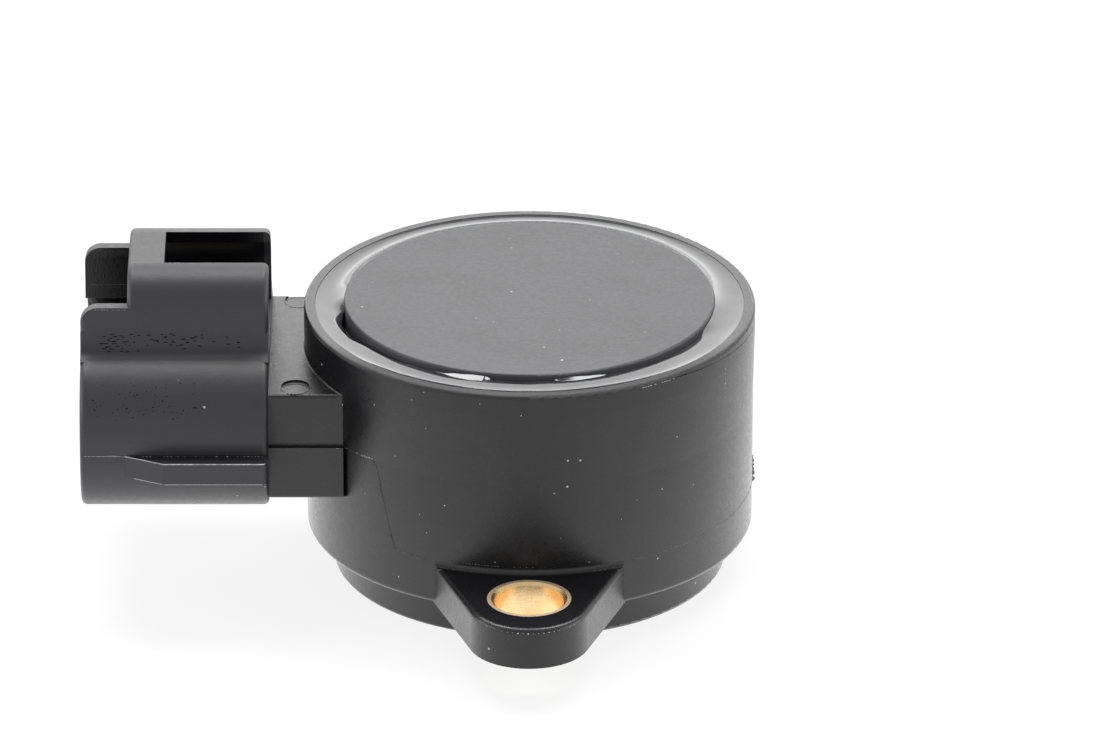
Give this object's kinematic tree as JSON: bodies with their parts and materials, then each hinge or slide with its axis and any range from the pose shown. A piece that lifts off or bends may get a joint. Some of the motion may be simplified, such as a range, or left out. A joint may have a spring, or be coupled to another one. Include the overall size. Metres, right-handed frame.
{
  "type": "throttle position sensor",
  "caption": "Round throttle position sensor with two bushed bolt ears, a locating spigot, a sprung rotor with a shaft slot and a side connector with a latch tunnel.",
  "frame": {"origin": "centre of the mounting plane, on the axis of the locating spigot and the rotor", "axes": "+Z along the rotor axis towards the lid; the connector's mouth faces -X; the two bolt ears lie along Y"},
  "size_m": [0.0581, 0.0604, 0.0295],
  "materials": {
    "housing_plastic": "fine matte moulded, glass filled",
    "cover_plastic": "fine matte moulded",
    "potting_resin": "glossy cast epoxy",
    "brass": "turned",
    "board_ceramic": "sintered ceramic",
    "carbon_print": "printed carbon",
    "silver_print": "printed conductor",
    "rotor_plastic": "moulded",
    "spring_bronze": "stamped spring sheet",
    "spring_steel": "drawn wire",
    "seal_rubber": "moulded rubber",
    "washer_nylon": "moulded",
    "tinned_brass": "tin plated strip",
    "solder": "soldered"
  },
  "bodies": {
    "sensor_housing": {"housing": "housing_plastic", "back_cover": "cover_plastic", "potting_ring": "potting_resin", "front_bush": "brass", "rear_bush": "brass", "terminal_1": "tinned_brass", "terminal_2": "tinned_brass", "terminal_3": "tinned_brass", "terminal_4": "tinned_brass", "solder_joint_1": "solder", "solder_joint_2": "solder", "solder_joint_3": "solder", "solder_joint_4": "solder", "track_board": "board_ceramic", "resistor_track": "carbon_print", "supply_track": "silver_print", "ground_track": "silver_print", "signal_track": "silver_print", "idle_track": "silver_print", "return_spring": "spring_steel", "shaft_seal": "seal_rubber", "thrust_washer": "washer_nylon", "spring_washer": "spring_steel"},
    "sensor_rotor": {"rotor": "rotor_plastic", "signal_wiper": "spring_bronze", "idle_wiper": "spring_bronze"}
  },
  "joints": [
    {"name": "rotor_turn", "type": "hinge", "parent": "sensor_housing", "child": "sensor_rotor", "pos_m": [0, 0, 0], "axis": [0, 0, 1], "range_deg": [0, 100], "stiffness_Nm_per_rad": 0.01, "springref_deg": -28.65, "deforming": ["return_spring"]}
  ]
}
